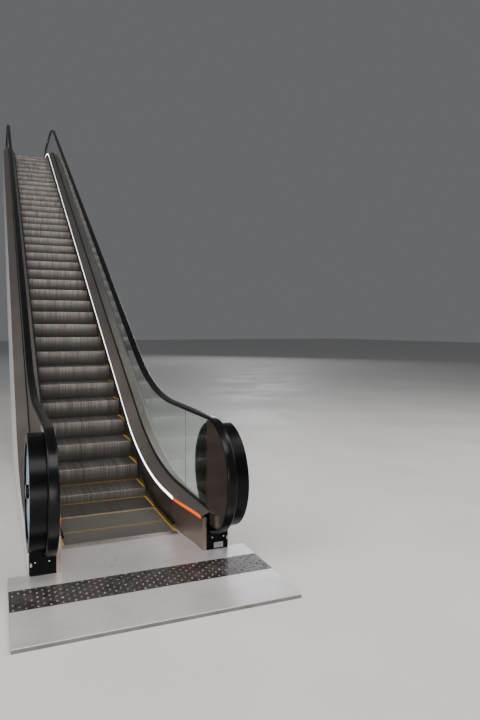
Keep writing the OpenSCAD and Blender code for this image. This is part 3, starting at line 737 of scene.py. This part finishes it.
def cleat_places(s):
    """The middles of a step's cleats, evenly spaced about its own middle, and half a cleat's width."""
    bare_edges = 0.004
    count = int((2 * STEP_HALF - bare_edges) / s.cleat_pitch)
    return (np.arange(count) - (count - 1) / 2) * s.cleat_pitch, s.cleat_width / 2


class ESCALATOR_OT_cleats(Operator):
    """Make the cleats on the treads and risers of the smooth steps"""

    bl_idname = "escalator.cleats"
    bl_label = "Step cleats"

    def rib(self, s):
        """One cleat's closed section in the side plane: outer points run along the tread's top, round
        the nose and down the riser's arc, 2.6 mm proud of it, and inner points run the same way 0.6 mm
        under the metal's surface."""
        proud, sunk, nose, h = 0.0026, 0.0006, 0.009, s.cleat_height
        r = s.pitch - s.riser_gap
        outer_r, inner_r = r + proud, r - sunk
        turn = math.pi + np.linspace(math.radians(1.2), s.incline + math.radians(1.6), 5)
        arc = np.stack([np.cos(turn), np.sin(turn)], 1)
        level = [[-0.001, h], [-s.mark_depth, h], [-0.14, h], [nose - outer_r, h]]
        top = np.array([*level, [0.0022 - outer_r, h - 0.0028]])
        outer = np.concatenate([top, outer_r * arc])
        inner = np.concatenate([top * [1, 0] - [0, sunk], inner_r * arc])
        inner[3:5] = [[nose - r, -sunk], [0.002 - r, -sunk]]
        return outer, inner

    def wear(self, shape, mid, heights):
        """How much lighter each vertex is painted, partly rubbed wear and partly painted light: a painted
        sheen most at the nose, fading to painted shade down the riser and towards the sides, different
        from cleat to cleat, with neighbours alike over a hand's width. On the level run, where noses hide
        behind the step in front, it is a third."""
        steps, cleats = shape[:2]
        # painted sheen at the nose, fading to painted shade at the riser's foot; lighter towards the nose
        # on the tread
        tread, riser = [0.35, 0.3, 0.45, 0.7, 0.85], [0.95, 0.66, 0.3, 0.1, 0.02]
        along = np.array(tread + riser)
        # painted shade towards the step's sides
        across = 1 - 0.75 * np.clip((abs(mid) / STEP_HALF - 0.55) / 0.45, 0, 1) ** 1.5
        chance = np.random.default_rng(7)
        window = np.hanning(11) / 5
        rows = chance.normal(0, 1, (steps, cleats))
        broad = np.stack([np.convolve(row, window, "same") for row in rows])
        each = np.clip(0.60 + 0.18 * broad + 0.22 * chance.normal(0, 1, (steps, cleats)), 0.1, 1)
        # on the level run the painted sheen is a third
        each = each * np.clip((heights - FLOOR_Z) / 0.12, 0.33, 1)[:, None]
        grid = along[None, None, :, None] * (across[None, :] * each)[:, :, None, None]
        return np.broadcast_to(grid, shape[:4])

    def execute(self, context):
        s = context.scene.escalator_sizes
        outer, inner = self.rib(s)
        m = len(outer)
        mid, w = cleat_places(s)
        # a rib's ring of vertices at each station: outer left, outer right, inner right, inner left
        side = np.array([-w, w, w * 1.3, -w * 1.3])
        yz = np.stack([outer, outer, inner, inner], 1)
        rib = np.concatenate([np.broadcast_to(side[None, :, None], (m, 4, 1)), yz], -1)
        caps = [np.array([3, 2, 1, 0]), np.array([0, 1, 2, 3]) + (m - 1) * 4]
        faces = np.concatenate([grid_faces(m, 4), np.stack(caps)])[:, ::-1]
        for node, (first, last) in BARE_STEPS.items():
            places = step_points(s, first, last)
            shape = (len(places), len(mid), m, 4, 3)
            total = len(places) * len(mid)
            v = np.broadcast_to(rib, shape).copy()
            v[..., 0] += mid[None, :, None, None]
            v[..., 1:] += places[:, None, None, None, :]
            if places[0, 1] < FLOOR_Z + 0.3:
                v[..., 2] = np.maximum(v[..., 2], LOWEST_CLEAT)
            f = (np.arange(total)[:, None, None] * (m * 4) + faces).reshape(-1, 4)
            # on the level steps the first face, a cleat's rear end on top, has the marking's yellow
            index = np.zeros((total, len(faces)), np.int32)
            if node in ("steps_lower", "steps_upper"):
                index[:, 0] = 1
            piece = put_mesh(
                f"cleats_{node[6:]}", (v, f, []), ("cleat", "yellow"),
                index=index.ravel(), smooth=False,
            )
            # the attribute holds rubbed wear together with painted sheen and painted shade
            layer = piece.data.attributes.new("wear", "FLOAT", "POINT")
            sheen_and_wear = self.wear(shape, mid, places[:, 1])
            layer.data.foreach_set("value", sheen_and_wear.astype(np.float32).ravel())
        return {"FINISHED"}


class ESCALATOR_OT_markings(Operator):
    """Make the yellow strips at the treads' sides and over the cast cleats' rear ends"""

    bl_idname = "escalator.markings"
    bl_label = "Step markings"

    def execute(self, context):
        s = context.scene.escalator_sizes
        h, rear, front = s.cleat_height, 0.0005, 0.388
        last = STEP_COUNT - 1
        places = step_points(s, 0, last)
        y, z = places.T
        inset = 0.0015
        edge = STEP_HALF - inset
        lows, highs = [], []
        for side in (-1, 1):
            x = sorted((side * edge, side * (edge - s.mark_width)))
            lows.append(np.column_stack([np.full(len(y), x[0]), y - front, z + 0.0002]))
            highs.append(np.column_stack([np.full(len(y), x[1]), y - rear, z + h + 0.0006]))
        mid, w = cleat_places(s)
        ones = np.ones(len(mid))
        for k in (0, 1, last - 1, last):
            top = z[k] + h
            lows.append(np.column_stack([mid - w, ones * (y[k] - s.mark_depth), ones * (top - 0.0004)]))
            highs.append(np.column_stack([mid + w, ones * (y[k] - rear), ones * (top + 0.0003)]))
        strips = boxes(np.concatenate(lows), np.concatenate(highs))
        put_mesh("step_markings", strips, ("yellow",), smooth=False)
        return {"FINISHED"}


class ESCALATOR_OT_handrails(Operator):
    """Make the smooth handrails in place of the plain ones"""

    bl_idname = "escalator.handrails"
    bl_label = "Handrails"

    def section(self, s):
        """A flat C whose open side is down: its crown's corners and its lips are arcs, and the crown sinks
        by 1.2 mm times the square of its place across, from 0 in the middle to 1 at the sides."""
        w, d, wall = s.rail_width / 2, s.rail_depth, 0.008
        lip, inside = w - 0.018, w - 0.012
        right = [(-d, w), (-d, lip), (-d + wall, lip), (-d + wall, inside), (-wall, inside)]
        corners = [(0.0, -w), (0.0, w), *right, *((n, -x) for n, x in reversed(right))]
        radii = [0.012, 0.012, 0.0125, 0.003, 0, 0, 0, 0, 0, 0, 0.003, 0.0125]
        out = rounded(corners, radii, 6)
        out[:, 0] -= 0.0012 * (out[:, 1] / w) ** 2 * (out[:, 0] > -0.004)
        return out

    def execute(self, context):
        s = context.scene.escalator_sizes
        tail = 0.3
        y_low, y_up = WHEEL[1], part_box("handrail_right")[1].y - UPPER_NEWEL_RADIUS
        crown = FLOOR_Z + RAIL_HEIGHTS[0]
        r_low = crown - WHEEL[2]
        parts = [
            ("line", tail), ("arc", r_low, -math.pi), *guide(s, RAIL_HEIGHTS, RAIL_RADII, y_low, y_up),
            ("arc", UPPER_NEWEL_RADIUS, -math.pi), ("line", tail),
        ]
        points, angles = path((y_low + tail, crown - 2 * r_low), math.pi, parts, 0.04)
        section = self.section(s)
        for side, name in SIDES:
            shape = section + [0, GLASS_X]
            shape = shape if side > 0 else (shape * [1, -1])[::-1]
            v = sweep(points, angles, shape)
            rail = put_mesh(f"handrail_belt_{name}", (v, *closed(*v.shape[:2])), ("rubber",))
            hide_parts(f"handrail_{name}")
        return {"FINISHED"}


class ESCALATOR_OT_tactile(Operator):
    """Make the studs of the tactile strip"""

    bl_idname = "escalator.tactile"
    bl_label = "Tactile studs"

    def execute(self, context):
        s = context.scene.escalator_sizes
        lo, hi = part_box("tactile_strip")
        r, sides = s.stud_radius, 12
        a = np.linspace(0, 2 * math.pi, sides, endpoint=False)
        profile = np.array([(r, -0.0004), (r * 0.94, 0.0026), (r * 0.66, 0.0045), (r * 0.26, 0.005)])
        levels = len(profile)
        radius, height = profile[:, :1], np.broadcast_to(profile[:, 1:], (levels, sides))
        stud = np.stack([radius * np.cos(a), radius * np.sin(a), height], -1)
        edges, inset = 0.03, 0.014
        columns = int((hi.x - lo.x - edges) / s.stud_across)
        rows = int((hi.y - lo.y - edges) / s.stud_along)
        i, j = np.meshgrid(np.arange(columns + 1), np.arange(rows + 1))
        x = (i - columns / 2) * s.stud_across
        y = hi.y - inset - s.stud_along * (j + 0.5 * (i % 2))
        keep = y > lo.y + r
        at = np.stack([x[keep], y[keep], np.full(keep.sum(), hi.z)], 1)
        v = at[:, None, None] + stud[None]
        first = np.arange(len(at)) * levels * sides
        f = (first[:, None, None] + grid_faces(levels, sides)[None]).reshape(-1, 4)
        tops = [k + np.arange((levels - 1) * sides, levels * sides) for k in first]
        feet = [k + np.arange(sides)[::-1] for k in first]
        put_mesh("tactile_studs", (v, f, tops + feet), ("stud",))
        return {"FINISHED"}


class ESCALATOR_OT_newel_details(Operator):
    """Make the wheel hubs, the screws and latch of each handrail inlet, and the plate of one"""

    bl_idname = "escalator.newel_details"
    bl_label = "Newel details"

    def execute(self, context):
        # profiles of (radius, height) from the foot up
        cone = [(0.0515, -0.0245), (0.0515, -0.005), (0.05, -0.001), (0.044, 0.0006), (0.01, 0.001)]
        dome = [(0.0062, -0.0004), (0.0062, 0.0006), (0.0052, 0.002), (0.003, 0.0029), (0.0012, 0.003)]
        hub, button = turned(cone), turned(dome, 16)
        # places on an inlet's face: X from the escalator's middle, and height over the inlet's foot
        screw_x, screw_up = (0.652, 0.752), 0.098
        plate_x, plate_up = (0.664, 0.746), (0.010, 0.056)
        latch_x, latch_up = (0.776, 0.7895), (0.070, 0.100)
        sunk, proud = 0.001, 0.004
        screws, latches, plates = [], [], []
        for side, name in SIDES:
            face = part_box("newel_wheel_right")[1].x
            cap = placed(hub, np.diag([side, 1, 1]), (side * face, WHEEL[1], WHEEL[2]))
            put_mesh(f"wheel_hub_{name}", cap, ("drum",), f"{name}_newel_wheel")
            for low in (True, False):
                lo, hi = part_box("handrail_inlets_lower" if low else "handrail_inlets_upper")
                front, out = (lo.y, -1) if low else (hi.y, 1)
                for x in screw_x:
                    axes = [[0, out, 0], [1, 0, 0], [0, 0, 1]]
                    screws.append(placed(button, axes, (side * x, front, lo.z + screw_up)))
                y = (front - out * sunk, front + out * proud)
                if low and side > 0:
                    plates.append(rounded_plate(plate_x, [lo.z + up for up in plate_up], y, 0.004))
                x = sorted(side * place for place in latch_x)
                latches.append(rounded_plate(x, [lo.z + up for up in latch_up], y, 0.003))
        put_mesh("inlet_screws", joined(screws), ("bright",))
        put_mesh("inlet_latches", joined(latches), ("bright",), smooth=False)
        put_mesh("inlet_plates", joined(plates), ("label",), smooth=False)
        return {"FINISHED"}


class ESCALATOR_OT_joints(Operator):
    """Make the joints of the decks and the cladding, the front trim and the comb's screws"""

    bl_idname = "escalator.joints"
    bl_label = "Joints and screws"

    def deck_joints(self, s):
        """Thin dark strips across the decks: the deck's section, which rises from the skirt to the clamp
        of the glass, drawn 3 mm along its guide beside the comb and at the panels' ends, half a
        millimetre proud and a millimetre deep. Beside the comb the skirt is widened."""
        clamp, at_comb, widened, deep = 0.014, -0.02, 0.02, 0.001
        top, reach = DECK_RISE, GLASS_X - clamp
        parts = guide(s, DECK_HEIGHTS, DECK_RADII, *DECK_ENDS)
        points, angles = path((DECK_ENDS[0], FLOOR_Z + DECK_HEIGHTS[0]), 0, parts, 0.02)
        ends = np.array([[-JOINT_HALF], [JOINT_HALF]])
        strips = []
        for k in np.interp([at_comb, *PANEL_ENDS], points[:, 0], np.arange(len(points))):
            i = min(int(k), len(points) - 2)
            p = points[i] + (points[i + 1] - points[i]) * (k - i)
            turn = angles[i]
            foot = SKIRT_X + (0.002 if p[0] > 0.1 else widened)
            section = [(-deep, foot), (top - deep, reach), (top + JOINT_PROUD, reach), (JOINT_PROUD, foot)]
            along = [math.cos(turn), math.sin(turn)]
            v = sweep(p + ends * along, np.full(2, turn), np.array(section))
            strip = turned_over((v.reshape(-1, 3), *closed(2, 4)))
            strips += [placed(strip, np.diag([side, 1, 1]), 0) for side, _ in SIDES]
        return joined(strips)

    def cladding_joints(self):
        """Thin dark upright strips on the cladding: at each panel end, from the lowest to the highest
        place where an edge of the outer face crosses that line."""
        sunk, inset, near = 0.0003, 0.002, 1e-4
        mesh = NODES["side_cladding_right"].data
        v = np.empty(len(mesh.vertices) * 3, np.float32)
        mesh.vertices.foreach_get("co", v)
        v = v.reshape(-1, 3)
        e = np.empty(len(mesh.edges) * 2, np.int32)
        mesh.edges.foreach_get("vertices", e)
        a, b = v[e.reshape(-1, 2)].transpose(1, 0, 2)
        face = v[:, 0].max()
        flat = (a[:, 0] > face - near) & (b[:, 0] > face - near)
        lows, highs = [], []
        for y in PANEL_ENDS:
            cut = flat & ((a[:, 1] - y) * (b[:, 1] - y) < 0)
            p, q = a[cut], b[cut]
            z = p[:, 2] + (q[:, 2] - p[:, 2]) * (y - p[:, 1]) / (q[:, 1] - p[:, 1])
            for side, _ in SIDES:
                x = sorted((side * (face - sunk), side * (face + JOINT_PROUD)))
                lows.append((x[0], y - JOINT_HALF, z.min() + inset))
                highs.append((x[1], y + JOINT_HALF, z.max() - inset))
        return boxes(lows, highs)

    def front_trim(self):
        """A thin plate on the base frame's front edge on each side of its middle, from just over the
        frame's foot to just under the floor plate."""
        middle, end, foot = 0.0302, 0.0602, 0.0082
        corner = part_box("lower_floor_plate_front")[0]
        z = (foot, corner.z - 0.0002)
        y = (corner.y + 0.0035, corner.y + 0.0003)
        widths = [sorted((side * middle, side * (-corner.x - end))) for side, _ in SIDES]
        return joined([rounded_plate(x, z, y, 0.001, 3) for x in widths])

    def comb_screws(self, s):
        """A row of twelve flat screws behind each comb."""
        count, spacing, behind = 12, 0.082, 0.085
        head = turned([(0.0046, -0.0003), (0.0046, 0.0001), (0.0038, 0.0006), (0.0012, 0.0006)], 14)
        across = (np.arange(count) - (count - 1) / 2) * spacing
        rows = ((-behind, FLOOR_Z), (upper_comb(s) + behind, TOP_Z))
        at = [(x, y, z) for x in across for y, z in rows]
        return joined([placed(head, [[0, 0, 1], [1, 0, 0], [0, 1, 0]], p) for p in at])

    def execute(self, context):
        s = context.scene.escalator_sizes
        put_mesh("cladding_joints", self.cladding_joints(), ("joint",), smooth=False)
        put_mesh("deck_joints", self.deck_joints(s), ("joint",), smooth=False)
        put_mesh("frame_front_trim", self.front_trim(), ("paint",), smooth=False)
        put_mesh("comb_screws", self.comb_screws(s), ("bright",))
        return {"FINISHED"}


# Name, place, aim, size, power and colour of each studio light.
LIGHTS = (
    ("Front", (-3.0, -12.0, 2.3), (0, 2.0, 0.6), (9, 3.2), 650, (1, 0.97, 0.94)),
    ("Top", (0.0, -5.0, 9.5), (0, 1.0, 0.3), (8, 4), 720, (1, 0.97, 0.94)),
    ("Left", (-8.5, -2.0, 8.5), (0, 1.5, 0.6), (4, 10), 900, (1, 0.98, 0.96)),
    ("Right", (9.0, -2.0, 8.5), (0, 1.5, 0.6), (4, 10), 900, (1, 0.98, 0.96)),
    ("Back", (15.0, 29.0, 9.0), (0, 15.0, 6.0), (6, 6), 700, (0.96, 0.98, 1)),
)


class ESCALATOR_OT_stage(Operator):
    """Make the floor, the lights and the camera"""

    bl_idname = "escalator.stage"
    bl_label = "Stage"

    def light(self, name, place, aim, size, power, tint):
        """A rectangular area light that looks at a point."""
        data = bpy.data.lights.new(name, "AREA")
        data.shape, data.size, data.size_y = "RECTANGLE", size[0], size[1]
        data.energy, data.color = power, tint
        lamp = bpy.data.objects.new(name, data)
        bpy.context.scene.collection.objects.link(lamp)
        lamp.location = place
        lamp.rotation_euler = (Vector(aim) - Vector(place)).to_track_quat("-Z", "Y").to_euler()

    def execute(self, context):
        scene = context.scene
        c = scene.escalator_colours
        mesh = bpy.data.meshes.new("stage_floor")
        mesh.from_pydata([(-60, -40, 0), (60, -40, 0), (60, 90, 0), (-60, 90, 0)], [], [(0, 1, 2, 3)])
        floor = bpy.data.objects.new("stage_floor", mesh)
        scene.collection.objects.link(floor)
        mesh.materials.append(finish("Stage floor", c.floor, 0.6, grime_scale=0.6, spread=0.02, bump=0.0))
        world = bpy.data.worlds.new("Studio")
        scene.world = world
        world.use_nodes = True
        sky = world.node_tree.nodes["Background"]
        sky.inputs["Color"].default_value = (0.80, 0.82, 0.85, 1)
        sky.inputs["Strength"].default_value = 0.17
        for row in LIGHTS:
            self.light(*row)
        data = bpy.data.cameras.new("Camera")
        data.sensor_width, data.lens = 36, 28.47
        data.shift_x, data.shift_y = 0.03, -0.0432
        data.clip_start, data.clip_end = 0.05, 300
        camera = bpy.data.objects.new("Camera", data)
        scene.collection.objects.link(camera)
        camera.location = (-1.0278, -4.9893, 1.8619)
        camera.rotation_euler = (math.pi / 2, 0, -0.3734)
        scene.camera = camera
        return {"FINISHED"}


PIECES = (
    ESCALATOR_OT_finishes,
    ESCALATOR_OT_cleats,
    ESCALATOR_OT_markings,
    ESCALATOR_OT_handrails,
    ESCALATOR_OT_tactile,
    ESCALATOR_OT_newel_details,
    ESCALATOR_OT_joints,
    ESCALATOR_OT_stage,
)


class ESCALATOR_PT_panel(Panel):
    """Lists the pieces that can be made"""

    bl_idname = "ESCALATOR_PT_panel"
    bl_label = "Escalator"
    bl_space_type = "VIEW_3D"
    bl_region_type = "UI"
    bl_category = "Escalator"

    def draw(self, context):
        for piece in PIECES:
            self.layout.operator(piece.bl_idname)


CLASSES = (EscalatorSizes, EscalatorColours, *PIECES, ESCALATOR_PT_panel)


def register():
    """Registers the classes and hangs the settings on the scene."""
    for cls in CLASSES:
        bpy.utils.register_class(cls)
    bpy.types.Scene.escalator_sizes = PointerProperty(type=EscalatorSizes)
    bpy.types.Scene.escalator_colours = PointerProperty(type=EscalatorColours)


def unregister():
    """Takes the settings and the classes away again."""
    del bpy.types.Scene.escalator_colours
    del bpy.types.Scene.escalator_sizes
    for cls in reversed(CLASSES):
        bpy.utils.unregister_class(cls)


def main():
    """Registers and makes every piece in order."""
    register()
    for piece in PIECES:
        group, name = piece.bl_idname.split(".")
        getattr(getattr(bpy.ops, group), name)()


if __name__ == "__main__":
    main()
